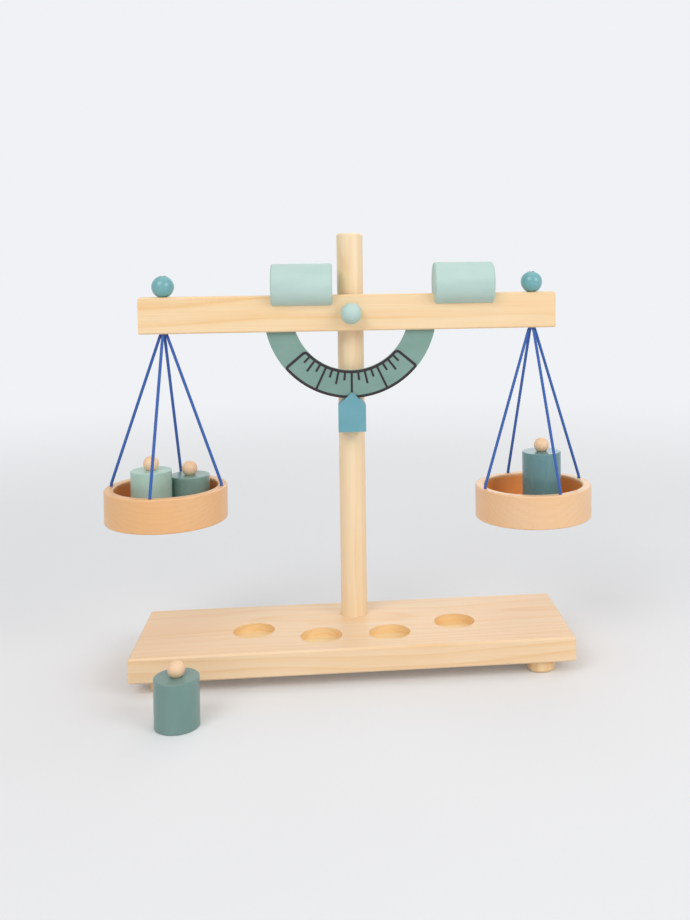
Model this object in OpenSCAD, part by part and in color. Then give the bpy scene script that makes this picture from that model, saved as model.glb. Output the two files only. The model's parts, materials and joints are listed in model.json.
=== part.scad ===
// Wooden balance scale for play, with two hanging pans, two counterweights and four weights.
// Millimetres. +Z is up, +X is to the right, and +Y runs from the front to the back.
// The origin is on the table, under the middle of the base plate.

/* [Base plate] */
// Length of the base plate, left to right
base_w = 300; // [240:5:360]
// Depth of the base plate, front to back
base_d = 93; // [88:1:130]
// Thickness of the base plate
base_t = 17; // [14:1:24]
// Height of the four round feet
foot_h = 9; // [5:1:15]
// Radius of a foot
foot_r = 10; // [8:0.5:12]
// Distance between neighbouring weight recesses, left to right
recess_pitch = 47.3; // [46:0.1:56]
// Depth of a weight recess
recess_deep = 5; // [3:0.5:8]

/* [Post] */
// Radius of the round post
post_r = 9.5; // [8:0.1:11.5]
// Height of the post above the pivot
post_over = 56.6; // [40:0.2:80]
// How far the post stands behind the middle of the base plate
post_y = 22; // [20:0.5:26]

/* [Beam] */
// Height of the pivot above the table
pivot_z = 248.4; // [230:0.2:300]
// Distance from the pivot to each cord hole
string_x = 131; // [122:0.5:160]
// Length of the beam beyond each cord hole
beam_end = 16.5; // [12:0.5:20]
// Height of the beam's face
beam_h = 25.6; // [22:0.2:31]
// Thickness of the beam, front to back
beam_t = 12; // [10:0.5:14.5]

/* [Dial] */
// Outer radius of the half-ring dial
dial_r = 61.2; // [58:0.2:64]
// Width of the half ring
dial_band = 19.8; // [16:0.2:24]
// Thickness of the dial
dial_t = 4; // [3:0.5:5]
// Half of the angle that the printed scale covers, in degrees
scale_half = 50; // [30:5:60]

/* [Counterweights] */
// Radius of a sliding counterweight
slider_r = 15.4; // [13:0.1:16]
// Length of a sliding counterweight
slider_l = 43; // [30:1:52]
// Gap along the beam between the post's side and the left counterweight
slider_post_gap = 3.5; // [3:0.5:30]
// Distance from the pivot to the right counterweight's inner end
slider_right_in = 59.5; // [38:0.5:66]

/* [Pans] */
// Outer radius of a pan
pan_r = 42.2; // [40:0.2:46]
// Height of a pan's wall
pan_h = 23.5; // [18:0.5:28]
// Thickness of a pan's wall
pan_wall = 6.5; // [5:0.5:7]
// Drop from the left knot to the left pan's rim
left_drop = 105.3; // [90:0.1:116]
// Drop from the right knot to the right pan's rim
right_drop = 112.3; // [90:0.1:116]
// Turn of the left pan's four cords round the pan, in degrees
left_turn = -7; // [-45:1:45]
// Turn of the right pan's four cords round the pan, in degrees
right_turn = 18; // [-45:1:45]
// Radius of a cord
cord_r = 1.1; // [0.9:0.1:1.2]

/* [Weights] */
// Radius of each weight
weight_r = 14; // [12:0.2:14.2]
// Height of the short weight in the left pan
short_h = 26; // [22:1:30]
// Height of the middle weight in the left pan
middle_h = 33; // [28:1:38]
// Height of the weight that stands on the table
table_h = 31; // [26:1:36]
// Height of the tall weight in the right pan
tall_h = 44; // [36:1:50]
// Radius of the ball knob on a weight
knob_r = 5.4; // [5:0.1:6.5]

/* [Hidden] */
$fn = 96;

// Clearances: a glued seat, a running fit, a sliding fit and a gap between parts that move apart
glue_fit = 0.03;
run_fit = 0.08;
slide_fit = 0.2;
part_gap = 0.3;
cut_more = 1;

// Base plate, its recesses and its feet
base_top = foot_h + base_t;
base_edge = 1.2;
foot_end_inset = 12;
foot_side_inset = 4;
foot_x = base_w / 2 - foot_r - foot_end_inset;
foot_y = base_d / 2 - foot_r - foot_side_inset;
foot_round = 3;
foot_peg_r = 3;
foot_peg_l = 7;
recess_room = 0.5;
recess_r = weight_r + recess_room;
recess_inner_y = -19.5;
recess_outer_y = -4;
recess_places = [
    [-1.5 * recess_pitch, recess_outer_y], [-0.5 * recess_pitch, recess_inner_y],
    [0.5 * recess_pitch, recess_inner_y], [1.5 * recess_pitch, recess_outer_y]];

// Post and the screw that holds it from below
post_under = 6;
post_foot = foot_h + post_under;
post_seat = base_t - post_under;
post_top = pivot_z + post_over;
post_chamfer = 1.2;
screw_r = 2;
screw_l = 34;
screw_head_r = 4.2;
screw_head_t = 2.6;
screw_sink = 3;
screw_slot_w = 1;
screw_slot_l = 4.6;
screw_slot_deep = 1.4;

// Places front to back, from the post forward
post_front = post_y - post_r;
flat_deep = 0.6;
flat_half = 8;
washer_t = 1.4;
washer_r = 6.5;
washer_y = post_front + flat_deep;
beam_back = washer_y - washer_t - part_gap;
beam_y = beam_back - beam_t / 2;
beam_front = beam_back - beam_t;
beam_l = 2 * (string_x + beam_end);
beam_under = pivot_z - beam_h / 2;
beam_over = pivot_z + beam_h / 2;
beam_edge = 0.9;
pin_r = 3;
pin_in_bead = 3;
pin_in_post = 14;
bead_r = 7.5;
bead_y = beam_front - part_gap - sqrt(bead_r * bead_r - pin_r * pin_r);
pin_front = bead_y - pin_in_bead;
pin_back = washer_y + pin_in_post;

// Dial in a slot under the beam
dial_in = dial_r - dial_band;
dial_tab = 8;
dial_top = -beam_h / 2 + dial_tab;
dial_front = beam_y - dial_t / 2;
slot_more = 0.5;
slot_in = sqrt(dial_in * dial_in - beam_h * beam_h / 4) - slot_more;
slot_w = dial_r + glue_fit - slot_in;

// Scale printed on the dial
scale_t = 0.2;
line_w = 1.9;
tick_w = 1.5;
tick_count = 16;
tick_step = 2 * scale_half / tick_count;
tick_shares = [1, 0.35, 0.54, 0.35];
scale_round = 2.6;
corner_round = 1.3;
scale_join = 0.2;
corner_less = 0.04;
corner_w = line_w - corner_less;
scale_arc = dial_in + glue_fit + line_w / 2;
scale_turn = asin(scale_round / (scale_arc + scale_round));
scale_rim = dial_r - glue_fit - line_w / 2;
corner_turn = asin(corner_round / (scale_rim - corner_round));

// Pointer on the post, its tip in front of the dial
pointer_w = 19.6;
pointer_h = 28.4;
pointer_gable = 9.4;
pointer_on_dial = 4.5;
pointer_lip = 2;
pointer_wrap = 2;
pointer_below_dial = 0.8;
pointer_tip = pivot_z - dial_r + pointer_on_dial;
pointer_foot = pointer_tip - pointer_h;
pointer_shoulder = pointer_tip - pointer_gable;
pointer_rebate = pivot_z - dial_r - pointer_below_dial;
pointer_front = dial_front - scale_t - part_gap - pointer_lip;
pointer_back = post_front + pointer_wrap;
peg_r = 2;
peg_half = 6.5;
peg_z = (pointer_foot + pointer_shoulder) / 2;
peg_front = post_front - peg_half;
peg_back = post_front + peg_half;

// Counterweights astride the beam
groove_deep = 8.5;
slider_z = beam_over + slider_r - groove_deep;
slider_left = post_r + slider_post_gap + slider_l / 2;
slider_right = slider_right_in + slider_l / 2;
slider_chamfer = 1;

// End beads, the cord bundles in the beam and the knots below it
string_hole_r = 2.9;
bundle_r = 2.6;
end_bead_r = 7.8;
end_bead_up = 7.3;
bundle_up = 15;
bundle_down = 0.2;
knot_down = 2;
knot_z = beam_under - knot_down;
knot_ball_r = 3.8;
knot_r = 3.5;
knot_shoulder = -1.2;
knot_neck_r = 2;
knot_up = 0.9;

// Cords: radius from the knot's axis and drop below the knot at the top of the straight part,
// then how far inside and above the hole in the rim the bend starts
cord_sides = 8;
cord_start = [3.7, 3];
cord_foot_r = pan_r - pan_wall / 2;
cord_bend = [[-1, 4.6], [-0.2, 2], [0, 0], [0, -9]];
cord_rings = 5;
cord_hole_r = 1.35;
cord_hole_deep = 10;

// Pans
rim_round = 1.2;
floor_t = 3;
floor_seat = 1.8;
floor_lift = 0.2;
stand_gap = 0.05;
pan_inner = pan_r - pan_wall;
left_rim = knot_z - left_drop;
right_rim = knot_z - right_drop;
left_stand = left_rim - pan_h + floor_lift + floor_t + stand_gap;
right_stand = right_rim - pan_h + floor_lift + floor_t + stand_gap;

// Weights: where each stands, in the pans as shares of a weight's radius, and its knob
short_shares = [1.08, 0.62];
middle_shares = [-0.66, -0.42];
tall_shares = [0.43, -0.14];
short_place = [-string_x, beam_y] + weight_r * short_shares;
middle_place = [-string_x, beam_y] + weight_r * middle_shares;
tall_place = [string_x, beam_y] + weight_r * tall_shares;
table_place = [-112, -90];
weight_edge = 0.5;
knob_sink = 1;
knob_peg_r = 1.5;
knob_peg_down = 8;
knob_peg_up = 4;

// Colours as the object shows them
pine = [0.95, 0.82, 0.62];
beech = [0.91, 0.72, 0.54];
mint = [0.76, 0.86, 0.82];
sage = [0.51, 0.66, 0.60];
sky = [0.44, 0.66, 0.72];
teal = [0.46, 0.68, 0.69];
forest = [0.40, 0.50, 0.46];
deep = [0.37, 0.54, 0.56];
ink = [0.16, 0.12, 0.15];
blue = [0.22, 0.34, 0.66];
steel = [0.70, 0.70, 0.72];
birch = [0.93, 0.80, 0.67];

// A bar along X whose long edges and outline corners are chamfered by c
module chamfered_box(w, d, h, c) {
    intersection() {
        rotate([90, 0, 90])
            linear_extrude(height = w, center = true)
                cut_corners(d, h, c);
        rotate([90, 0, 0])
            linear_extrude(height = d, center = true)
                cut_corners(w, h, c);
    }
}

// A rectangle round the origin with its corners cut off
module cut_corners(w, h, c) {
    x = w / 2;
    y = h / 2;
    polygon([[c - x, -y], [x - c, -y], [x, c - y], [x, y - c],
        [x - c, y], [c - x, y], [-x, y - c], [-x, c - y]]);
}

// A cylinder along +Y that starts at y0 and ends at y1
module cylinder_y(r, y0, y1, x, z) {
    translate([x, y1, z])
        rotate([90, 0, 0])
            cylinder(r = r, h = y1 - y0);
}

module base_plate() {
    color(pine)
        difference() {
            translate([0, 0, foot_h + base_t / 2])
                chamfered_box(base_w, base_d, base_t, base_edge);
            for (p = recess_places)
                translate([p[0], p[1], base_top - recess_deep])
                    cylinder(r = recess_r, h = recess_deep + cut_more);
            translate([0, post_y, post_foot])
                cylinder(r = post_r + glue_fit, h = post_seat + cut_more);
            translate([0, post_y, foot_h - cut_more])
                cylinder(r = screw_head_r + part_gap, h = screw_sink + cut_more);
            translate([0, post_y, foot_h - cut_more])
                cylinder(r = screw_r + slide_fit, h = base_t);
            for (x = [-foot_x, foot_x], y = [-foot_y, foot_y])
                translate([x, y, foot_h - cut_more])
                    cylinder(r = foot_peg_r + glue_fit, h = foot_peg_l + cut_more);
        }
}

// A turned foot with its peg, rounded where it meets the table
module foot(x, y) {
    color(pine)
        translate([x, y, 0])
            rotate_extrude() {
                translate([0, foot_round])
                    square([foot_r, foot_h - foot_round]);
                square([foot_r - foot_round, foot_h]);
                intersection() {
                    translate([foot_r - foot_round, foot_round])
                        circle(r = foot_round);
                    square([foot_r, foot_h]);
                }
                square([foot_peg_r, foot_h + foot_peg_l - part_gap]);
            }
}

module post() {
    color(pine)
        difference() {
            translate([0, post_y, 0])
                rotate_extrude()
                    polygon([[0, post_foot], [post_r, post_foot], [post_r, post_top - post_chamfer],
                        [post_r - post_chamfer, post_top], [0, post_top]]);
            translate([-post_r, post_front - cut_more, pivot_z - flat_half])
                cube([2 * post_r, flat_deep + cut_more, 2 * flat_half]);
            cylinder_y(pin_r + glue_fit, post_front - cut_more, pin_back, 0, pivot_z);
            cylinder_y(peg_r + glue_fit, post_front - cut_more, peg_back, 0, peg_z);
            translate([0, post_y, post_foot - cut_more])
                cylinder(r = screw_r + glue_fit, h = screw_l);
        }
}

// The wood screw under the base plate, with a cross slot
module base_screw() {
    head = foot_h + screw_sink - screw_head_t;
    color(steel)
        translate([0, post_y, head])
            difference() {
                union() {
                    cylinder(r = screw_head_r, h = screw_head_t);
                    cylinder(r = screw_r, h = screw_l);
                }
                for (turn = [0, 90])
                    rotate([0, 0, turn])
                        translate([-screw_slot_l / 2, -screw_slot_w / 2, -cut_more])
                            cube([screw_slot_l, screw_slot_w, screw_slot_deep + cut_more]);
            }
}

module pivot_pin() {
    color(birch)
        cylinder_y(pin_r, pin_front, pin_back, 0, pivot_z);
}

module pivot_washer() {
    color(birch)
        difference() {
            cylinder_y(washer_r, washer_y - washer_t, washer_y, 0, pivot_z);
            cylinder_y(pin_r + glue_fit, washer_y - washer_t - cut_more, washer_y + cut_more, 0, pivot_z);
        }
}

// A bead round the origin with a bore that opens downwards and reaches up to z = deep
module bored_bead(r, bore_r, deep) {
    difference() {
        sphere(r = r);
        translate([0, 0, -r - cut_more])
            cylinder(r = bore_r, h = r + cut_more + deep);
    }
}

// The round bead on the front end of the pin, bored from behind
module pivot_bead() {
    color(mint)
        translate([0, bead_y, pivot_z])
            rotate([90, 0, 0])
                bored_bead(bead_r, pin_r + glue_fit, bead_y - pin_front);
}

// The house-shaped pointer, hollowed to fit the post, its tip thinned to pass in front of the dial
module pointer() {
    half = pointer_w / 2;
    color(sky)
        difference() {
            translate([0, pointer_back, 0])
                rotate([90, 0, 0])
                    linear_extrude(height = pointer_back - pointer_front)
                        polygon([[-half, pointer_foot], [half, pointer_foot],
                            [half, pointer_shoulder], [0, pointer_tip], [-half, pointer_shoulder]]);
            translate([0, post_y, pointer_foot - cut_more])
                cylinder(r = post_r + run_fit, h = pointer_h + 2 * cut_more);
            translate([-half, pointer_front + pointer_lip, pointer_rebate])
                cube([pointer_w, pointer_back, pointer_tip - pointer_rebate + cut_more]);
            cylinder_y(peg_r + glue_fit, peg_front, pointer_back + cut_more, 0, peg_z);
        }
}

module pointer_peg() {
    color(birch)
        cylinder_y(peg_r, peg_front, peg_back, 0, peg_z);
}

module beam() {
    color(pine)
        difference() {
            translate([0, beam_y, pivot_z])
                chamfered_box(beam_l, beam_t, beam_h, beam_edge);
            cylinder_y(pin_r + run_fit, beam_front - cut_more, beam_back + cut_more, 0, pivot_z);
            for (x = [-string_x, string_x])
                translate([x, beam_y, beam_under - cut_more])
                    cylinder(r = string_hole_r, h = beam_h + 2 * cut_more);
            for (x = [-slot_in - slot_w, slot_in])
                translate([x, dial_front - glue_fit, beam_under - cut_more])
                    cube([slot_w, dial_t + 2 * glue_fit, dial_tab + cut_more + glue_fit]);
        }
}

// A ring sector below the pivot, drawn flat with the pivot as its centre
module half_ring(outer, inner, top) {
    difference() {
        circle(r = outer);
        circle(r = inner);
        translate([-outer - cut_more, top])
            square([2 * outer + 2 * cut_more, outer + cut_more - top]);
    }
}

// Stands a flat drawing up round the pivot, its back at y1
module stand_up(y1, t) {
    translate([0, y1, pivot_z])
        rotate([90, 0, 0])
            linear_extrude(height = t)
                children();
}

module dial() {
    color(sage)
        stand_up(dial_front + dial_t, dial_t)
            half_ring(dial_r, dial_in, dial_top);
}

// A line of width w drawn as an arc: a ring of middle radius r, kept from angle a0 to angle a1
module arc_line(r, a0, a1, w = line_w) {
    reach = 2 * (r + line_w);
    middle = (a0 + a1) / 2;
    intersection() {
        difference() {
            circle(r = r + w / 2);
            circle(r = r - w / 2);
        }
        polygon([[0, 0], reach * [cos(a0), sin(a0)], reach * [cos(middle), sin(middle)],
            reach * [cos(a1), sin(a1)]]);
    }
}

// One end of the scale's outline: a straight line between rounded corners. The corners are a hair
// thinner than the lines that run on into them, so that all is one solid without slivers.
module scale_end() {
    inner = (scale_arc + scale_round) * cos(scale_turn);
    outer = (scale_rim - corner_round) * cos(corner_turn);
    rotate([0, 0, scale_half - scale_turn])
        translate([0, -scale_arc - scale_round])
            arc_line(scale_round, scale_turn, 90, corner_w);
    rotate([0, 0, scale_half])
        translate([-line_w / 2, -outer - scale_join])
            square([line_w, outer - inner + 2 * scale_join]);
    rotate([0, 0, scale_half - corner_turn])
        translate([0, corner_round - scale_rim])
            arc_line(corner_round, -90, corner_turn, corner_w);
}

// The printed scale: two arcs, two end lines and ticks that hang from the inner arc
module dial_scale() {
    inner_half = scale_half - scale_turn + atan(scale_join / scale_arc);
    rim_half = scale_half - corner_turn + atan(scale_join / scale_rim);
    color(ink)
        stand_up(dial_front, scale_t) {
            arc_line(scale_arc, -90 - inner_half, inner_half - 90);
            arc_line(scale_rim, -90 - rim_half, rim_half - 90);
            scale_end();
            mirror([1, 0])
                scale_end();
            for (k = [1 : tick_count - 1])
                rotate([0, 0, k * tick_step - scale_half]) {
                    tick = (scale_rim - scale_arc) * tick_shares[k % len(tick_shares)];
                    translate([-tick_w / 2, -scale_arc - tick])
                        square([tick_w, tick]);
                }
        }
}

// A bead on the beam's end, bored through for the cord bundle
module end_bead(x) {
    color(teal)
        translate([x, beam_y, beam_over + end_bead_up])
            bored_bead(end_bead_r, bundle_r + glue_fit, end_bead_r + cut_more);
}

// The four cords where they run together through the beam
module bundle(x) {
    color(blue)
        translate([x, beam_y, beam_under - bundle_down])
            cylinder(r = bundle_r, h = beam_h + bundle_down + bundle_up);
}

// A counterweight: a short log with a groove that sits on the beam
module slider(x) {
    color(mint)
        difference() {
            translate([x - slider_l / 2, beam_y, slider_z])
                rotate([90, 0, 90])
                    rotate_extrude()
                        polygon([[0, 0], [slider_r - slider_chamfer, 0], [slider_r, slider_chamfer],
                            [slider_r, slider_l - slider_chamfer],
                            [slider_r - slider_chamfer, slider_l], [0, slider_l]]);
            translate([x - slider_l / 2 - cut_more, beam_front - slide_fit, slider_z - slider_r - cut_more])
                cube([slider_l + 2 * cut_more, beam_t + 2 * slide_fit, groove_deep + cut_more + run_fit]);
        }
}

// The knot under the beam's end, round below so that the pan's cords can swing on it
module knot(x) {
    color(blue)
        translate([x, beam_y, knot_z])
            intersection() {
                sphere(r = knot_ball_r);
                rotate_extrude()
                    polygon([[0, -knot_ball_r], [knot_r, -knot_ball_r], [knot_r, knot_shoulder],
                        [knot_neck_r, knot_up], [0, knot_up]]);
            }
}

// A pan's wall: a turned ring with a seat for its floor and four blind holes for the cords
module pan_ring(x, rim, turn) {
    mid = pan_wall - 2 * rim_round;
    color(beech)
        translate([x, beam_y, rim - pan_h])
            difference() {
                rotate_extrude() {
                    translate([pan_inner + rim_round, 0])
                        square([mid, pan_h]);
                    translate([pan_inner, rim_round])
                        square([pan_wall, pan_h - 2 * rim_round]);
                    for (r = [pan_inner + rim_round, pan_r - rim_round], z = [rim_round, pan_h - rim_round])
                        translate([r, z])
                            circle(r = rim_round);
                }
                translate([0, 0, -cut_more])
                    cylinder(r = pan_inner + floor_seat + glue_fit, h = floor_t + floor_lift + cut_more);
                for (a = [0, 90, 180, 270])
                    rotate([0, 0, turn + a])
                        translate([cord_foot_r, 0, pan_h - cord_hole_deep])
                            cylinder(r = cord_hole_r, h = cord_hole_deep + cut_more);
            }
}

module pan_floor(x, rim) {
    color(beech)
        translate([x, beam_y, rim - pan_h + floor_lift])
            cylinder(r = pan_inner + floor_seat, h = floor_t);
}

// A cord's route in its own upright plane: distance from the knot's axis, and drop below the knot
function cord_route(drop) =
    let (bend = [for (b = cord_bend) [cord_foot_r + b[0], drop - b[1]]])
    concat(
        [for (k = [0 : cord_rings - 1]) cord_start + (bend[0] - cord_start) * k / cord_rings],
        bend);

// The way the cord runs at point k of its route
function cord_way(route, k) =
    let (a = route[max(k - 1, 0)], b = route[min(k + 1, len(route) - 1)])
    (b - a) / norm(b - a);

// One ring of the tube, in the route's plane turned to angle a
function cord_ring(route, k, a) =
    let (way = cord_way(route, k), across = [way[1], -way[0]])
    [for (s = [0 : cord_sides - 1])
        let (t = 360 * s / cord_sides,
            r = route[k][0] + cord_r * cos(t) * across[0],
            down = route[k][1] + cord_r * cos(t) * across[1],
            side = cord_r * sin(t))
        [r * cos(a) - side * sin(a), r * sin(a) + side * cos(a), -down]];

// A cord as one tube swept along its route
module cord(x, drop, a) {
    route = cord_route(drop);
    rings = len(route);
    points = [for (k = [0 : rings - 1]) each cord_ring(route, k, a)];
    sides = [for (k = [0 : rings - 2], s = [0 : cord_sides - 1])
        let (n = (s + 1) % cord_sides, lo = k * cord_sides, hi = lo + cord_sides)
        [lo + s, lo + n, hi + n, hi + s]];
    first = [for (s = [0 : cord_sides - 1]) cord_sides - 1 - s];
    last = [for (s = [0 : cord_sides - 1]) (rings - 1) * cord_sides + s];
    color(blue)
        translate([x, beam_y, knot_z])
            polyhedron(points = points, faces = concat([first], sides, [last]));
}

// A turned weight with a seat and a peg hole for its knob
module weight(place, stand, h, tint) {
    color(tint)
        translate([place[0], place[1], stand])
            difference() {
                rotate_extrude()
                    polygon([[0, 0], [weight_r - weight_edge, 0], [weight_r, weight_edge],
                        [weight_r, h - weight_edge], [weight_r - weight_edge, h], [0, h]]);
                translate([0, 0, h - knob_sink + knob_r])
                    sphere(r = knob_r + glue_fit);
                translate([0, 0, h - knob_peg_down])
                    cylinder(r = knob_peg_r + glue_fit, h = knob_peg_down + cut_more);
            }
}

module knob(place, stand, h) {
    color(birch)
        translate([place[0], place[1], stand + h])
            difference() {
                translate([0, 0, knob_r - knob_sink])
                    sphere(r = knob_r);
                translate([0, 0, -knob_sink - cut_more])
                    cylinder(r = knob_peg_r + glue_fit, h = knob_peg_up + knob_sink + cut_more);
            }
}

module knob_peg(place, stand, h) {
    color(birch)
        translate([place[0], place[1], stand + h - knob_peg_down])
            cylinder(r = knob_peg_r, h = knob_peg_down + knob_peg_up);
}

base_plate();
foot(-foot_x, -foot_y);  // front_left_foot
foot(foot_x, -foot_y);  // front_right_foot
foot(-foot_x, foot_y);  // rear_left_foot
foot(foot_x, foot_y);  // rear_right_foot
post();
base_screw();
pivot_pin();
pivot_washer();
pivot_bead();
pointer();
pointer_peg();
beam();
dial();
dial_scale();
end_bead(-string_x);  // left_bead
end_bead(string_x);  // right_bead
bundle(-string_x);  // left_bundle
bundle(string_x);  // right_bundle
slider(-slider_left);  // left_slider
slider(slider_right);  // right_slider
knot(-string_x);  // left_knot
knot(string_x);  // right_knot
pan_ring(-string_x, left_rim, left_turn);  // left_pan_ring
pan_floor(-string_x, left_rim);  // left_pan_floor
pan_ring(string_x, right_rim, right_turn);  // right_pan_ring
pan_floor(string_x, right_rim);  // right_pan_floor
cord(-string_x, left_drop, left_turn);  // left_cord_right
cord(-string_x, left_drop, left_turn + 90);  // left_cord_rear
cord(-string_x, left_drop, left_turn + 180);  // left_cord_left
cord(-string_x, left_drop, left_turn + 270);  // left_cord_front
cord(string_x, right_drop, right_turn);  // right_cord_right
cord(string_x, right_drop, right_turn + 90);  // right_cord_rear
cord(string_x, right_drop, right_turn + 180);  // right_cord_left
cord(string_x, right_drop, right_turn + 270);  // right_cord_front
weight(short_place, left_stand, short_h, forest);  // short_weight
weight(middle_place, left_stand, middle_h, mint);  // middle_weight
weight(table_place, 0, table_h, sage);  // table_weight
weight(tall_place, right_stand, tall_h, deep);  // tall_weight
knob(short_place, left_stand, short_h);  // short_knob
knob(middle_place, left_stand, middle_h);  // middle_knob
knob(table_place, 0, table_h);  // table_knob
knob(tall_place, right_stand, tall_h);  // tall_knob
knob_peg(short_place, left_stand, short_h);  // short_peg
knob_peg(middle_place, left_stand, middle_h);  // middle_peg
knob_peg(table_place, 0, table_h);  // table_peg
knob_peg(tall_place, right_stand, tall_h);  // tall_peg
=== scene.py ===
# Wooden balance scale toy: finishes, cords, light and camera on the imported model
import math
import json
import bpy
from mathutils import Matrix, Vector


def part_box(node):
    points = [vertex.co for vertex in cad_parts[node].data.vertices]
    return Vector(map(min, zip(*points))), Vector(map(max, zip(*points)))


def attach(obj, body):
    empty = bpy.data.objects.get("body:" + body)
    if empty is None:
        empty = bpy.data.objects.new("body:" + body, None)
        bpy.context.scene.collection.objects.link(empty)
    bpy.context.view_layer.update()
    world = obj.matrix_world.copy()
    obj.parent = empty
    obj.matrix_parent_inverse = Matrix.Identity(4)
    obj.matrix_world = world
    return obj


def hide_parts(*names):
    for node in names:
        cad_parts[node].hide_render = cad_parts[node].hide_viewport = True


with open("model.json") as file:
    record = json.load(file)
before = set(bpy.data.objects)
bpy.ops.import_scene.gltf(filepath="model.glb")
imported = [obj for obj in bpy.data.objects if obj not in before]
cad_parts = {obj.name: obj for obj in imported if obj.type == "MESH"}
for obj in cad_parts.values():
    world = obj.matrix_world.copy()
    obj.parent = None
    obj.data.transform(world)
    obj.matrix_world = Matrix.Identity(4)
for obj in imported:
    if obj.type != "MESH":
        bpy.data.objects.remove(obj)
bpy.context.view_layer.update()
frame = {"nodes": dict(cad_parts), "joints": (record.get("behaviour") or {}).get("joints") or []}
nodes = frame["nodes"]
joints = {joint["name"]: joint for joint in frame["joints"]}


# a colour as a screen shows it, 0 to 255, as the linear value that a shader takes
def tone(red, green, blue):
    linear = []
    for value in (red / 255, green / 255, blue / 255):
        linear.append(value / 12.92 if value <= 0.04045 else ((value + 0.055) / 1.055) ** 2.4)
    return (*linear, 1.0)


def addObject(name, data):
    thing = bpy.data.objects.new(name, data)
    bpy.context.scene.collection.objects.link(thing)
    return thing


# camera, first, because the cords are measured from its view
camera = {
    "place": (-0.013703, -0.736402, 0.292189),
    "turn": (88.3466, 0.6065, -6.0197),   # degrees about X, Y, Z
    "lens": 40.565,                       # millimetres, on a film this high
    "filmHeight": 36,
    "shift": (-0.1033, -0.1957),
    "nearest": 0.01,                      # metres from the lens at which things begin to show
}


def setCamera():
    lens = bpy.data.cameras.new("scaleCamera")
    lens.lens = camera["lens"]
    lens.sensor_fit = "VERTICAL"
    lens.sensor_height = camera["filmHeight"]
    lens.shift_x, lens.shift_y = camera["shift"]
    lens.clip_start = camera["nearest"]
    view = addObject("scaleCamera", lens)
    view.location = camera["place"]
    view.rotation_euler = [math.radians(turn) for turn in camera["turn"]]
    bpy.context.scene.camera = view


setCamera()
print("camera set")


# small helpers for shader trees
def addNode(tree, kind, **settings):
    node = tree.nodes.new(kind)
    for name, value in settings.items():
        setattr(node, name, value)
    return node


# a socket takes another node's output, or else a plain number, vector or colour
def feed(tree, socket, value):
    if isinstance(value, bpy.types.NodeSocket):
        tree.links.new(value, socket)
    else:
        socket.default_value = value


def mathNode(tree, operation, *values):
    node = addNode(tree, "ShaderNodeMath", operation=operation)
    for socket, value in zip(node.inputs, values):
        feed(tree, socket, value)
    return node.outputs[0]


def vectorNode(tree, operation, *values):
    node = addNode(tree, "ShaderNodeVectorMath", operation=operation)
    for socket, value in zip(node.inputs, values):
        feed(tree, socket, value)
    return node.outputs["Value"] if operation == "LENGTH" else node.outputs[0]


def scaleVector(tree, vector, scale):
    node = addNode(tree, "ShaderNodeVectorMath", operation="SCALE")
    feed(tree, node.inputs[0], vector)
    feed(tree, node.inputs["Scale"], scale)
    return node.outputs[0]


def noiseNode(tree, vector, scale, detail=2.0, roughness=0.5):
    node = addNode(tree, "ShaderNodeTexNoise")
    feed(tree, node.inputs["Vector"], vector)
    feed(tree, node.inputs["Scale"], scale)
    feed(tree, node.inputs["Detail"], detail)
    feed(tree, node.inputs["Roughness"], roughness)
    return node


# noise drawn out along the grain, which runs along X: a small share of X gives long streaks
def grainNoise(tree, place, shareOfX, scale, detail, roughness):
    drawnOut = vectorNode(tree, "MULTIPLY", place, (shareOfX, 1.0, 1.0))
    return noiseNode(tree, drawnOut, scale, detail, roughness)


def rampNode(tree, value, stops, interpolation="LINEAR"):
    node = addNode(tree, "ShaderNodeValToRGB")
    node.color_ramp.interpolation = interpolation
    points = node.color_ramp.elements
    while len(points) < len(stops):
        points.new(0.5)
    for point, (where, shade) in zip(points, stops):
        point.position = where
        point.color = (shade, shade, shade, 1)
    feed(tree, node.inputs["Fac"], value)
    return node.outputs["Color"]


# 0 up to low, 1 from high on
def spread(tree, value, low, high):
    return rampNode(tree, value, [(low, 0.0), (high, 1.0)])


# where a Mix node keeps its colours
mixSockets = {"amount": 0, "first": 6, "second": 7, "result": 2}


def mixColour(tree, amount, first, second, blend="MIX"):
    node = addNode(tree, "ShaderNodeMix", data_type="RGBA", blend_type=blend)
    feed(tree, node.inputs[mixSockets["amount"]], amount)
    feed(tree, node.inputs[mixSockets["first"]], first)
    feed(tree, node.inputs[mixSockets["second"]], second)
    return node.outputs[mixSockets["result"]]


# a node group that takes a place and some numbers and gives values over the surface
def newGroup(name, numbers, results):
    group = bpy.data.node_groups.new(name, "ShaderNodeTree")
    group.interface.new_socket(name="Vector", in_out="INPUT", socket_type="NodeSocketVector")
    for label, value in numbers.items():
        socket = group.interface.new_socket(name=label, in_out="INPUT",
                                            socket_type="NodeSocketFloat")
        socket.default_value = value
    for label in results:
        group.interface.new_socket(name=label, in_out="OUTPUT", socket_type="NodeSocketFloat")
    return group, addNode(group, "NodeGroupInput"), addNode(group, "NodeGroupOutput")


def useGroup(tree, group, vector, **numbers):
    node = addNode(tree, "ShaderNodeGroup", node_tree=group)
    feed(tree, node.inputs["Vector"], vector)
    for name, value in numbers.items():
        node.inputs[name].default_value = value
    return node


def newMaterial(name):
    material = bpy.data.materials.new(name)
    material.use_nodes = True
    tree = material.node_tree
    return material, tree, tree.nodes["Principled BSDF"]


# roughness between a look's two values
def addRoughness(tree, shader, look, share):
    low, high = look["roughness"]
    feed(tree, shader.inputs["Roughness"], mathNode(tree, "MULTIPLY_ADD", share, high - low, low))


def addBump(tree, shader, height, distance):
    bump = addNode(tree, "ShaderNodeBump")
    bump.inputs["Strength"].default_value = 1.0
    bump.inputs["Distance"].default_value = distance
    feed(tree, bump.inputs["Height"], height)
    feed(tree, shader.inputs["Normal"], bump.outputs["Normal"])


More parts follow.
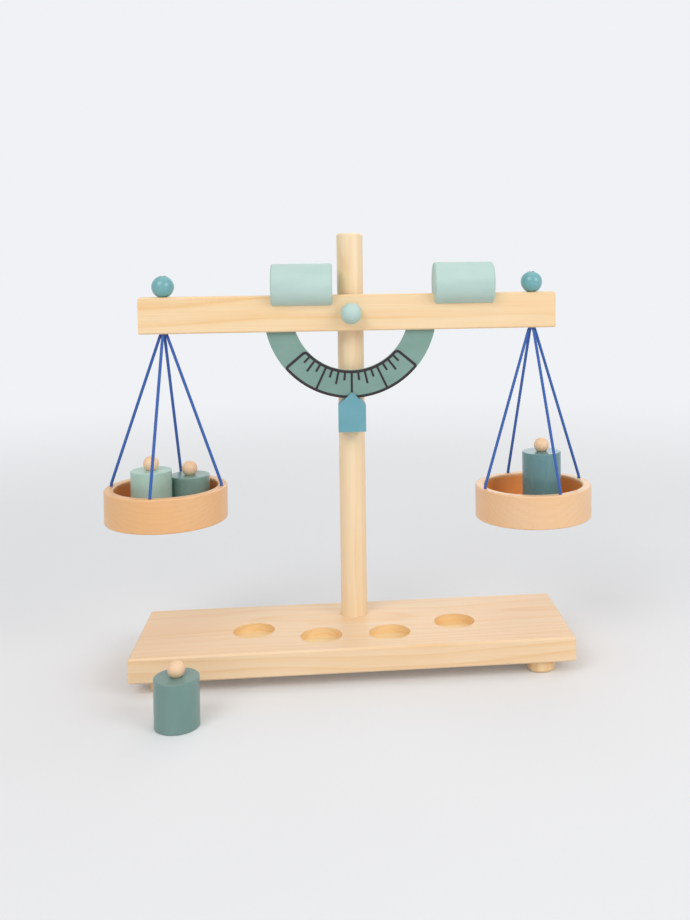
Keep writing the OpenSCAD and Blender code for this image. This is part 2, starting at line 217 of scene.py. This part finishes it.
# shared effects as node groups; the noises give a share of X, features per metre, detail, roughness
woodDetail = {
    "drift": (0.22, 22, 1.5, 0.5),        # bends the year rings out of round
    "uneven": (0.05, 95, 1.0, 0.5),       # makes some years wide and some narrow
    "unevenYears": 1.1,
    "ringShareOfX": 0.035,                # how fast the rings run out of a board
    "year": [(0.0, 0.04), (0.35, 0.1), (0.72, 0.55), (0.86, 1.0), (0.97, 0.2), (1.0, 0.04)],
    "fibre": (0.018, 900, 3.0, 0.62),     # fine streaks, and between which values they show
    "streakRange": (0.3, 0.7),
    "cloud": (0.35, 26, 3.0, 0.55),       # patches of stronger rings and warmer wood
    "patchRange": (0.35, 0.65),
    "poreShareOfX": 0.14,
    "poreScale": 900,
    "pore": [(0.1, 1.0), (0.26, 0.0)],    # depth by distance from a pore's middle
    "poreField": (0.3, 420, 1.0, 0.5),    # where pores gather, and between which values
    "poreFieldRange": (0.5, 0.6),
    "ringHeight": -0.5,                   # rings and pores lie lower than the fibre
    "poreHeight": -1.0,
}


def makeWoodGroup():
    group, source, result = newGroup("woodGrain", {"RingWidth": 0.003, "Wander": 0.006},
                                     ("Rings", "Fibre", "Cloud", "Pores"))
    place = source.outputs["Vector"]
    # year rings: the distance from the pith, counted in ring widths
    drift = grainNoise(group, place, *woodDetail["drift"]).outputs["Color"]
    push = vectorNode(group, "SUBTRACT", drift, (0.5, 0.5, 0.5))
    push = scaleVector(group, push, source.outputs["Wander"])
    bent = vectorNode(group, "ADD", place, push)
    bent = vectorNode(group, "MULTIPLY", bent, (woodDetail["ringShareOfX"], 1.0, 1.0))
    reach = vectorNode(group, "LENGTH", bent)
    years = mathNode(group, "DIVIDE", reach, source.outputs["RingWidth"])
    uneven = grainNoise(group, place, *woodDetail["uneven"]).outputs["Fac"]
    years = mathNode(group, "MULTIPLY_ADD", uneven, woodDetail["unevenYears"], years)
    rings = rampNode(group, mathNode(group, "FRACT", years), woodDetail["year"], "EASE")
    feed(group, result.inputs["Rings"], rings)
    fibre = grainNoise(group, place, *woodDetail["fibre"]).outputs["Fac"]
    feed(group, result.inputs["Fibre"], fibre)
    cloud = grainNoise(group, place, *woodDetail["cloud"]).outputs["Fac"]
    feed(group, result.inputs["Cloud"], cloud)
    # pores: short dark dashes along the grain
    dash = addNode(group, "ShaderNodeTexVoronoi", feature="F1", distance="EUCLIDEAN")
    dash.inputs["Scale"].default_value = woodDetail["poreScale"]
    drawnOut = vectorNode(group, "MULTIPLY", place, (woodDetail["poreShareOfX"], 1.0, 1.0))
    feed(group, dash.inputs["Vector"], drawnOut)
    pores = rampNode(group, dash.outputs["Distance"], woodDetail["pore"])
    field = grainNoise(group, place, *woodDetail["poreField"]).outputs["Fac"]
    field = spread(group, field, *woodDetail["poreFieldRange"])
    feed(group, result.inputs["Pores"], mathNode(group, "MULTIPLY", pores, field))
    return group


filmDetail = {
    "mottle": (0.4, 60, 4.0, 0.6),
    "fibre": (0.03, 1100, 3.0, 0.6),      # the wood under the film shows faintly
    "fibreHeight": 0.6,
    "peelDetail": 1.0,
    "speckScale": 1500,
    "speckRange": (0.7, 0.8),
}


# paint, ink and plating: a mottled film with a fine orange peel and a few paler specks
def makeFilmGroup():
    group, source, result = newGroup("paintFilm", {"PeelScale": 900.0},
                                     ("Mottle", "Speck", "Height"))
    place = source.outputs["Vector"]
    mottle = grainNoise(group, place, *filmDetail["mottle"]).outputs["Fac"]
    feed(group, result.inputs["Mottle"], mottle)
    fibre = grainNoise(group, place, *filmDetail["fibre"]).outputs["Fac"]
    peel = noiseNode(group, place, source.outputs["PeelScale"], filmDetail["peelDetail"])
    height = mathNode(group, "MULTIPLY_ADD", fibre, filmDetail["fibreHeight"], peel.outputs["Fac"])
    feed(group, result.inputs["Height"], height)
    speck = noiseNode(group, place, filmDetail["speckScale"], 0.0).outputs["Fac"]
    feed(group, result.inputs["Speck"], spread(group, speck, *filmDetail["speckRange"]))
    return group


woodGrain = makeWoodGroup()
paintFilm = makeFilmGroup()


# object space turned so that the grain runs along X, and moved so that the pith is its X axis
def grainSpace(tree, along="X", pith=(0.0, 0.0, 0.0)):
    where = addNode(tree, "ShaderNodeTexCoord").outputs["Object"]
    moved = vectorNode(tree, "SUBTRACT", where, pith)
    if along == "X":
        return moved
    parts = addNode(tree, "ShaderNodeSeparateXYZ")
    feed(tree, parts.inputs[0], moved)
    turned = addNode(tree, "ShaderNodeCombineXYZ")
    for socket, axis in zip(turned.inputs, {"Y": "YZX", "Z": "ZXY"}[along]):
        feed(tree, socket, parts.outputs[axis])
    return turned.outputs[0]


# woods: the early and late tone of a year ring and a warm tone that comes in patches; each share
# says how strongly a thing shows, and ring width, wander and bump are in metres
pine = {
    "early": tone(245, 219, 180), "late": tone(232, 180, 110), "warm": tone(244, 206, 156),
    "ringShare": 0.32, "patchShare": 0.55, "warmShare": 0.5, "fibreShare": 0.3,
    "poreShare": 0.0, "poreTone": tone(190, 130, 75),
    "ringWidth": 0.0042, "wander": 0.012, "roughness": (0.4, 0.52), "bump": 0.00004,
    "coat": 0.1, "coatRoughness": 0.22,
}
postPine = dict(pine, early=tone(247, 225, 190), late=tone(234, 197, 146),
                warm=tone(245, 213, 170), coat=0.4)
platePine = dict(pine, early=tone(243, 217, 184), late=tone(231, 185, 124),
                 warm=tone(241, 207, 168))
beech = {
    "early": tone(236, 190, 142), "late": tone(220, 156, 102), "warm": tone(234, 176, 110),
    "ringShare": 0.14, "patchShare": 0.14, "warmShare": 0.6, "fibreShare": 0.18,
    "poreShare": 0.28, "poreTone": tone(190, 126, 80),
    "ringWidth": 0.0034, "wander": 0.009, "roughness": (0.38, 0.52), "bump": 0.00003,
    "coat": 0.4, "coatRoughness": 0.22,
}
paleBeech = dict(beech, early=tone(238, 198, 156), late=tone(222, 165, 114),
                 warm=tone(237, 188, 132))
birch = {
    "early": tone(242, 209, 175), "late": tone(226, 178, 134), "warm": tone(239, 197, 156),
    "ringShare": 0.25, "patchShare": 0.2, "warmShare": 0.5, "fibreShare": 0.14,
    "poreShare": 0.25, "poreTone": tone(196, 146, 104),
    "ringWidth": 0.0022, "wander": 0.004, "roughness": (0.42, 0.55), "bump": 0.00003,
    "coat": 0.0, "coatRoughness": 0.22,
}


# painted shade inside round hollows, a darker and warmer tint; the hollows are given by their axes
# in x and y, their radius and the heights of mouth and floor; the painted shade is weaker near the
# rim and on the floor, by their shares
def hollowShadeMask(tree, hollow):
    where = addNode(tree, "ShaderNodeTexCoord").outputs["Object"]
    parts = addNode(tree, "ShaderNodeSeparateXYZ")
    feed(tree, parts.inputs[0], where)
    inside = None
    for x, y in hollow["places"]:
        aside = vectorNode(tree, "SUBTRACT", where, (x, y, 0.0))
        out = vectorNode(tree, "LENGTH", vectorNode(tree, "MULTIPLY", aside, (1.0, 1.0, 0.0)))
        out = mathNode(tree, "DIVIDE", out, hollow["radius"])
        edge = rampNode(tree, out, [(0.985, 1.0), (1.0, 0.0)])
        inside = edge if inside is None else mathNode(tree, "MAXIMUM", inside, edge)
    depth = mathNode(tree, "SUBTRACT", hollow["mouth"], parts.outputs["Z"])
    depth = mathNode(tree, "DIVIDE", depth, hollow["mouth"] - hollow["floor"])
    deep = rampNode(tree, depth, [(0.0, 0.0), (0.12, hollow["rimShare"]), (0.85, 1.0),
                                  (0.97, hollow["floorShare"])])
    return mathNode(tree, "MULTIPLY", inside, deep)


def woodMaterial(name, look, along, pith, hollow=None):
    material, tree, shader = newMaterial(name)
    grain = useGroup(tree, woodGrain, grainSpace(tree, along, pith),
                     RingWidth=look["ringWidth"], Wander=look["wander"])
    rings, fibre = grain.outputs["Rings"], grain.outputs["Fibre"]
    # the rings stand out more in some patches, which are warmer too
    patch = spread(tree, grain.outputs["Cloud"], *woodDetail["patchRange"])
    strong = mathNode(tree, "MULTIPLY_ADD", patch, look["patchShare"], look["ringShare"])
    colour = mixColour(tree, mathNode(tree, "MULTIPLY", rings, strong), look["early"], look["late"])
    warmth = mathNode(tree, "MULTIPLY", patch, look["warmShare"])
    colour = mixColour(tree, warmth, colour, look["warm"])
    streak = spread(tree, fibre, *woodDetail["streakRange"])
    streak = mathNode(tree, "MULTIPLY", streak, look["fibreShare"])
    colour = mixColour(tree, streak, colour, look["late"])
    pores = mathNode(tree, "MULTIPLY", grain.outputs["Pores"], look["poreShare"])
    colour = mixColour(tree, pores, colour, look["poreTone"])
    if hollow:
        # painted shade: inside the hollows the colour is multiplied by a darker, warmer tint
        colour = mixColour(tree, hollowShadeMask(tree, hollow), colour, hollow["tint"], "MULTIPLY")
    feed(tree, shader.inputs["Base Color"], colour)
    shader.inputs["Coat Weight"].default_value = look["coat"]
    shader.inputs["Coat Roughness"].default_value = look["coatRoughness"]
    addRoughness(tree, shader, look, fibre)
    height = mathNode(tree, "MULTIPLY_ADD", rings, woodDetail["ringHeight"], fibre)
    height = mathNode(tree, "MULTIPLY_ADD", pores, woodDetail["poreHeight"], height)
    addBump(tree, shader, height, look["bump"])
    return material


def dress(pieces, material):
    for piece in pieces:
        mesh = nodes[piece].data
        if not mesh.materials:
            mesh.materials.append(material)
        for slot in nodes[piece].material_slots:
            slot.material = material


# the pith lies off the piece, in metres, so that boards show long flat grain
# the plate's recesses get a painted shade: a slightly darker, warmer tint on their walls and floors
recesses = {
    "places": [(-0.07095, -0.004), (-0.02365, -0.0195), (0.02365, -0.0195), (0.07095, -0.004)],
    "radius": 0.01475, "floor": 0.021, "mouth": 0.026, "rimShare": 0.75, "floorShare": 1.0,
    "tint": tone(255, 253, 230),
}
woods = {
    "plateWood": {"look": platePine, "along": "X", "pith": (0.0, 0.012, -0.022), "hollow": recesses,
                  "pieces": ["base_plate"]},
    "footWood": {"look": pine, "along": "Z", "pith": (0.09, 0.06, 0.0),
                 "pieces": ["front_left_foot", "front_right_foot",
                            "rear_left_foot", "rear_right_foot"]},
    "postWood": {"look": postPine, "along": "Z", "pith": (0.016, 0.050, 0.0), "pieces": ["post"]},
    "beamWood": {"look": pine, "along": "X", "pith": (0.0, 0.052, 0.262), "pieces": ["beam"]},
    "pinWood": {"look": birch, "along": "Y", "pith": (0.01, 0.0, 0.24),
                "pieces": ["pivot_pin", "pivot_washer", "pointer_peg"]},
    "knobWood": {"look": birch, "along": "Z", "pith": (-0.02, 0.03, 0.0),
                 "pieces": [weight + part for part in ("_knob", "_peg")
                            for weight in ("short", "middle", "table", "tall")]},
}
for name, wood in woods.items():
    finish = woodMaterial(name, wood["look"], wood["along"], wood["pith"], wood.get("hollow"))
    dress(wood["pieces"], finish)

# inside each pan the wood gets a painted shade, a darker orange tint on wall and floor
pans = {
    "left": {"look": beech, "pith": (0.0, 0.03, 0.02), "rimShare": 0.75,
             "tint": tone(246, 174, 100)},
    "right": {"look": paleBeech, "pith": (0.0, 0.03, 0.045), "rimShare": 0.95,
              "tint": tone(255, 187, 78)},
    "insideRadius": 0.0361,
    "rimEdge": 0.0006,                    # the painted shade begins this far below the rim
    "floorShare": 0.4,
}
for side in ("left", "right"):
    pan = pans[side]
    low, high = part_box(side + "_pan_ring")
    inside = {"places": [((low[0] + high[0]) / 2, (low[1] + high[1]) / 2)],
              "radius": pans["insideRadius"],
              "floor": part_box(side + "_pan_floor")[1][2], "mouth": high[2] - pans["rimEdge"],
              "rimShare": pan["rimShare"], "floorShare": pans["floorShare"], "tint": pan["tint"]}
    panWood = woodMaterial(side + "PanWood", pan["look"], "X", pan["pith"], inside)
    dress([side + "_pan_ring", side + "_pan_floor"], panWood)

# paints: two tones that mottle into each other, over a grain that runs along one axis
satin = {
    "roughness": (0.45, 0.58), "coat": 0.0, "coatRoughness": 0.12, "bump": 0.00003,
    "mottleRange": (0.3, 0.7), "speckShare": 0.25, "along": "X",
}
lacquer = dict(satin, roughness=(0.22, 0.32), coat=0.2, bump=0.000012, along="Z")
paints = {
    "mintPaint": dict(satin, deep=tone(175, 202, 194), pale=tone(187, 212, 205),
                      roughness=(0.45, 0.57), pieces=["pivot_bead", "left_slider", "right_slider"]),
    "sagePaint": dict(satin, deep=tone(117, 151, 141), pale=tone(129, 161, 151), pieces=["dial"]),
    "bluePaint": dict(satin, deep=tone(99, 156, 169), pale=tone(110, 167, 179), pieces=["pointer"]),
    "tealPaint": dict(satin, deep=tone(104, 164, 169), pale=tone(116, 174, 179),
                      roughness=(0.24, 0.34), coat=0.25, pieces=["left_bead", "right_bead"]),
    "greenPaint": dict(lacquer, deep=tone(113, 147, 139), pale=tone(124, 159, 151),
                       pieces=["short_weight"]),
    "deepPaint": dict(lacquer, deep=tone(89, 133, 139), pale=tone(101, 145, 150),
                      pieces=["tall_weight"]),
    "greyPaint": dict(lacquer, deep=tone(109, 141, 135), pale=tone(120, 151, 146),
                      roughness=(0.27, 0.37), coat=0.1, pieces=["table_weight"]),
    "paleMint": dict(lacquer, deep=tone(163, 197, 185), pale=tone(175, 207, 195),
                     roughness=(0.3, 0.4), coat=0.1, pieces=["middle_weight"]),
}


def paintMaterial(name, look):
    material, tree, shader = newMaterial(name)
    film = useGroup(tree, paintFilm, grainSpace(tree, look["along"]))
    thin = spread(tree, film.outputs["Mottle"], *look["mottleRange"])
    colour = mixColour(tree, thin, look["deep"], look["pale"])
    speck = mathNode(tree, "MULTIPLY", film.outputs["Speck"], look["speckShare"])
    colour = mixColour(tree, speck, colour, look["pale"])
    feed(tree, shader.inputs["Base Color"], colour)
    addRoughness(tree, shader, look, film.outputs["Mottle"])
    shader.inputs["Coat Weight"].default_value = look["coat"]
    shader.inputs["Coat Roughness"].default_value = look["coatRoughness"]
    addBump(tree, shader, film.outputs["Height"], look["bump"])
    return material


for name, look in paints.items():
    dress(look["pieces"], paintMaterial(name, look))

ink = {"deep": tone(32, 22, 28), "worn": tone(46, 35, 41), "wornRange": (0.35, 0.75),
       "roughness": 0.55, "peelScale": 2600.0, "bump": 0.00002}
steel = {"dull": tone(150, 150, 154), "bright": tone(196, 196, 200),
         "roughness": (0.25, 0.45), "peelScale": 2600.0, "bump": 0.00002}


def inkMaterial():
    material, tree, shader = newMaterial("printedInk")
    film = useGroup(tree, paintFilm, grainSpace(tree), PeelScale=ink["peelScale"])
    worn = spread(tree, film.outputs["Mottle"], *ink["wornRange"])
    feed(tree, shader.inputs["Base Color"], mixColour(tree, worn, ink["deep"], ink["worn"]))
    shader.inputs["Roughness"].default_value = ink["roughness"]
    addBump(tree, shader, film.outputs["Height"], ink["bump"])
    return material


def steelMaterial():
    material, tree, shader = newMaterial("zincSteel")
    film = useGroup(tree, paintFilm, grainSpace(tree, "Z"), PeelScale=steel["peelScale"])
    colour = mixColour(tree, film.outputs["Mottle"], steel["dull"], steel["bright"])
    feed(tree, shader.inputs["Base Color"], colour)
    shader.inputs["Metallic"].default_value = 1.0
    addRoughness(tree, shader, steel, film.outputs["Mottle"])
    addBump(tree, shader, film.outputs["Height"], steel["bump"])
    return material


dress(["dial_scale"], inkMaterial())
dress(["base_screw"], steelMaterial())

# light and dark: the braid's raised strands and its gaps; the dark tone is a painted shade mixed
# with the yarns' own uneven tone
cordLook = {
    "light": tone(60, 107, 188), "dark": tone(28, 44, 108), "fuzz": tone(96, 134, 202),
    "yarn": (3800, 3.0, 0.7),             # features per metre, detail, roughness
    "yarnShareOfZ": 0.35,
    "yarnShare": 0.5, "shadeRange": (0.3, 1.0),
    "fuzzScale": 5200, "fuzzRange": (0.62, 0.72), "fuzzShare": 0.3,
    "roughness": (0.72, 0.92), "sheen": 0.3, "sheenRoughness": 0.4, "bump": 0.00008,
}


# braided cotton: the mesh carries the braid, the shader its yarns and fluff, and a painted shade
# that darkens the braid's gaps
def cordMaterial():
    material, tree, shader = newMaterial("blueCord")
    where = addNode(tree, "ShaderNodeTexCoord").outputs["Object"]
    relief = addNode(tree, "ShaderNodeAttribute", attribute_name="relief").outputs["Fac"]
    drawnOut = vectorNode(tree, "MULTIPLY", where, (1.0, 1.0, cordLook["yarnShareOfZ"]))
    yarn = noiseNode(tree, drawnOut, *cordLook["yarn"]).outputs["Fac"]
    # painted shade: darker where the braid's gaps sink, with the yarns' own uneven tone on top
    shade = mathNode(tree, "MULTIPLY_ADD", yarn, cordLook["yarnShare"], relief)
    shade = spread(tree, shade, *cordLook["shadeRange"])
    colour = mixColour(tree, shade, cordLook["dark"], cordLook["light"])
    fuzz = noiseNode(tree, where, cordLook["fuzzScale"], 0.0).outputs["Fac"]
    fuzz = spread(tree, fuzz, *cordLook["fuzzRange"])
    fuzz = mathNode(tree, "MULTIPLY", fuzz, cordLook["fuzzShare"])
    feed(tree, shader.inputs["Base Color"], mixColour(tree, fuzz, colour, cordLook["fuzz"]))
    addRoughness(tree, shader, cordLook, yarn)
    shader.inputs["Sheen Weight"].default_value = cordLook["sheen"]
    shader.inputs["Sheen Roughness"].default_value = cordLook["sheenRoughness"]
    addBump(tree, shader, yarn, cordLook["bump"])
    return material


blueCord = cordMaterial()
print("finishes made:", len(bpy.data.materials))


# the cords: four strands through bead and beam, four short lengths at the knot, and four that hang
# down to the pan
cordSize = {
    "radius": 0.0011,
    "start": (0.0037, 0.003),             # out from the knot's axis, down from the joint
    "foot": 0.03895,                      # radius of the holes in the rim
    # over the rim and into the hole: out from its axis, up from its mouth
    "bend": ((-0.001, 0.0046), (-0.0002, 0.002), (0.0, 0.0), (0.0, -0.009)),
    "parts": 5,                           # equal parts of the straight run from start to bend
    "drop": {"left": 0.1053, "right": 0.1123},   # from the joint down to the rim
    "turn": {"left": -7, "right": 18},           # degrees about the pan's axis
    "step": 0.0003,                       # metres from one ring of the mesh to the next
    "pathPoints": 30,
}
braid = {
    "sides": 20,
    "strands": 4,
    "pick": 0.0024,                       # length after which the crossings repeat
    "relief": 0.13,                       # share of the radius by which the gaps sink
    "cut": 0.0004,                        # length over which a cut end draws in
    "drawIn": 0.28,                       # share of the radius that it loses there
}
curveParts = 24                           # parts of each span of a route when its corners are eased
ways = ("right", "rear", "left", "front")


# a point out from a pan's axis and up from its knot, on the cord that goes one way
def besideKnot(side, way, out, up):
    angle = math.radians(cordSize["turn"][side] + 90 * ways.index(way))
    aside = Vector((out * math.cos(angle), out * math.sin(angle), up))
    return Vector(joints[side + "_swing"]["pos_m"]) + aside


# the same points as the solid's own route
def cordRoute(side, way):
    drop, parts = cordSize["drop"][side], cordSize["parts"]
    bend = [(cordSize["foot"] + out, drop - up) for out, up in cordSize["bend"]]
    first, last = cordSize["start"], bend[0]
    straight = [(first[0] + (last[0] - first[0]) * k / parts,
                 first[1] + (last[1] - first[1]) * k / parts) for k in range(parts)]
    return [besideKnot(side, way, out, -down) for out, down in straight + bend]


# points at an even step along a smooth curve through the route, and the curve's length
def evenPoints(route, step):
    fine = []
    for k in range(len(route) - 1):
        before, here = route[max(k - 1, 0)], route[k]
        there, after = route[k + 1], route[min(k + 2, len(route) - 1)]
        for part in range(curveParts):
            t = part / curveParts
            fine.append(0.5 * (2 * here + (there - before) * t
                               + (2 * before - 5 * here + 4 * there - after) * t * t
                               + (3 * here - before - 3 * there + after) * t ** 3))
    fine.append(route[-1])
    lengths = [0.0]
    for a, b in zip(fine, fine[1:]):
        lengths.append(lengths[-1] + (b - a).length)
    count = round(lengths[-1] / step)
    points, index = [], 0
    for k in range(count + 1):
        want = lengths[-1] * k / count
        while index < len(fine) - 2 and lengths[index + 1] < want:
            index += 1
        span = lengths[index + 1] - lengths[index]
        points.append(fine[index].lerp(fine[index + 1], (want - lengths[index]) / span))
    return points, lengths[-1]


# tubes with a braided surface, as one piece: two families of strands that cross in diamonds
def braidedTubes(name, lines, radius):
    sides, strands, cut = braid["sides"], braid["strands"], braid["cut"]
    vertices, faces, relief = [], [], []
    for points in lines:
        base = len(vertices)
        side = Vector((0.3, 1, 0)).cross(points[1] - points[0]).normalized()
        run = 0.0
        whole = sum((b - a).length for a, b in zip(points, points[1:]))
        for k, point in enumerate(points):
            way = (points[min(k + 1, len(points) - 1)] - points[max(k - 1, 0)]).normalized()
            side = (side - way * side.dot(way)).normalized()
            up = way.cross(side)
            if k:
                run += (point - points[k - 1]).length
            soft = 1 - braid["drawIn"] * max(0.0, 1 - min(run, whole - run) / cut) ** 2
            wind = 2 * math.pi * run / braid["pick"]
            for s in range(sides):
                angle = 2 * math.pi * s / sides
                one = abs(math.sin((strands * angle + wind) / 2))
                two = abs(math.sin((strands * angle - wind) / 2))
                high = math.sqrt(one * two)
                reach = soft * radius * (1 - braid["relief"] * (1 - high))
                vertices.append(point + reach * (math.cos(angle) * side + math.sin(angle) * up))
                relief.append(high)
        for k in range(len(points) - 1):
            ring = base + k * sides
            for s in range(sides):
                n = (s + 1) % sides
                faces.append((ring + s, ring + n, ring + sides + n, ring + sides + s))
        faces.append(tuple(base + s for s in reversed(range(sides))))
        faces.append(tuple(base + (len(points) - 1) * sides + s for s in range(sides)))
    mesh = bpy.data.meshes.new(name)
    mesh.from_pydata(vertices, [], faces)
    mesh.polygons.foreach_set("use_smooth", [len(face) == 4 for face in faces])
    mesh.attributes.new("relief", "FLOAT", "POINT").data.foreach_set("value", relief)
    mesh.materials.append(blueCord)
    mesh.update()
    return addObject(name, mesh)


def hangCords(side):
    for way in ways:
        points, length = evenPoints(cordRoute(side, way), cordSize["step"])
        piece = braidedTubes(side + "Cord" + way.capitalize(), [points], cordSize["radius"])
        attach(piece, side + "_pan")
        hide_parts(side + "_cord_" + way)


# the cords where they leave the beam, turning with the knot, with their lower ends inside the
# hanging cords; top and end are out from the knot's axis and up from the joint
knotSize = {"top": (0.00263, 0.0002), "end": (0.0041, -0.0042), "radius": 0.00105, "step": 0.0003}


def makeKnot(side):
    lines = []
    for way in ways:
        route = [besideKnot(side, way, *knotSize[place]) for place in ("top", "end")]
        lines.append(evenPoints(route, knotSize["step"])[0])
    piece = braidedTubes(side + "KnotCords", lines, knotSize["radius"])
    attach(piece, side + "_knot")
    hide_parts(side + "_knot")


# the strands in bead and beam: out from the axis and up from the joint; the ends say how far each
# cut end stands out of the bead
strandSize = {
    "route": ((0.00294, -0.0009), (0.00175, 0.0022), (0.00145, 0.0046), (0.00145, 0.02),
              (0.00145, 0.042)),
    "ends": {"right": 0.0006, "rear": 0.0001, "left": 0.0004, "front": 0.0},
    "step": 0.00025,
}


def makeStrands(side):
    lines = []
    for way in ways:
        route = [besideKnot(side, way, out, up) for out, up in strandSize["route"]]
        route[-1] += Vector((0, 0, strandSize["ends"][way]))
        lines.append(evenPoints(route, strandSize["step"])[0])
    piece = braidedTubes(side + "Strands", lines, cordSize["radius"])
    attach(piece, "beam")
    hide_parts(side + "_bundle")


for side in ("left", "right"):
    hangCords(side)
    makeKnot(side)
    makeStrands(side)
print("cords hung")


# soft lamps, and a wide pale floor that fades into a plain surround
lamps = {
    "key": {"power": 15.5, "place": (-0.9, -1.35, 1.5), "size": 1.3},
    "fill": {"power": 13, "place": (1.3, -1.2, 1.0), "size": 1.2},
    "top": {"power": 4, "place": (0.1, 0.1, 1.9), "size": 1.4},
    "back": {"power": 4, "place": (0.5, 1.5, 1.1), "size": 1.5},
}
lampAim = (0.0, 0.0, 0.14)
surround = {
    "light": 0.46,                        # strength of the light it gives
    "white": tone(255, 255, 255),
    "paper": tone(240, 242, 245),         # what the eye sees far away, floor and surround alike
}
ground = {
    "pale": tone(238, 239, 240), "dull": tone(232, 233, 235),
    "cloudScale": 3.0, "roughness": 0.9, "gloss": 0.1,
    "near": 0.3, "far": 1.4,              # metres out from the scale over which the floor fades
    "share": 0.12,                        # share of paper seen close by
    "radius": 9.0, "corners": 64,
}


def addLamp(name, look):
    lamp = bpy.data.lights.new(name + "Lamp", "AREA")
    lamp.energy = look["power"]
    lamp.shape = "DISK"
    lamp.size = look["size"]
    holder = addObject(name + "Lamp", lamp)
    holder.location = look["place"]
    way = Vector(lampAim) - Vector(look["place"])
    holder.rotation_euler = way.to_track_quat("-Z", "Y").to_euler()
    holder.visible_camera = False


# 1 where a surface is seen, directly, in a gloss or through glass, and 0 where it only gives light
def seenDirectly(tree):
    path = addNode(tree, "ShaderNodeLightPath")
    seen = mathNode(tree, "MAXIMUM", path.outputs["Is Camera Ray"], path.outputs["Is Glossy Ray"])
    return mathNode(tree, "MAXIMUM", seen, path.outputs["Is Transmission Ray"])


def floorMaterial():
    material, tree, shader = newMaterial("paleFloor")
    where = addNode(tree, "ShaderNodeTexCoord").outputs["Object"]
    cloud = noiseNode(tree, where, ground["cloudScale"]).outputs["Fac"]
    feed(tree, shader.inputs["Base Color"], mixColour(tree, cloud, ground["dull"], ground["pale"]))
    shader.inputs["Roughness"].default_value = ground["roughness"]
    shader.inputs["Specular IOR Level"].default_value = ground["gloss"]
    glow = addNode(tree, "ShaderNodeEmission")
    glow.inputs["Color"].default_value = surround["paper"]
    glow.inputs["Strength"].default_value = 1.0
    away = mathNode(tree, "DIVIDE", vectorNode(tree, "LENGTH", where), ground["far"])
    fade = [(ground["near"] / ground["far"], ground["share"]), (1.0, 1.0)]
    share = rampNode(tree, away, fade, "EASE")
    blend = addNode(tree, "ShaderNodeMixShader")
    feed(tree, blend.inputs[0], mathNode(tree, "MULTIPLY", seenDirectly(tree), share))
    feed(tree, blend.inputs[1], shader.outputs[0])
    feed(tree, blend.inputs[2], glow.outputs[0])
    feed(tree, tree.nodes["Material Output"].inputs["Surface"], blend.outputs[0])
    return material


def makeFloor():
    radius, corners = ground["radius"], ground["corners"]
    angles = [2 * math.pi * k / corners for k in range(corners)]
    rim = [(radius * math.cos(angle), radius * math.sin(angle), 0.0) for angle in angles]
    mesh = bpy.data.meshes.new("floor")
    mesh.from_pydata(rim, [], [tuple(range(corners))])
    mesh.materials.append(floorMaterial())
    addObject("floor", mesh)


def makeSurround():
    world = bpy.data.worlds.new("paleSurround")
    bpy.context.scene.world = world
    world.use_nodes = True
    tree = world.node_tree
    shade = tree.nodes["Background"]
    seen = seenDirectly(tree)
    feed(tree, shade.inputs["Color"], mixColour(tree, seen, surround["white"], surround["paper"]))
    strength = mathNode(tree, "MULTIPLY_ADD", seen, 1 - surround["light"], surround["light"])
    feed(tree, shade.inputs["Strength"], strength)


for name, look in lamps.items():
    addLamp(name, look)
makeFloor()
makeSurround()
bpy.context.scene.view_settings.view_transform = "Standard"
print("light and floor set")
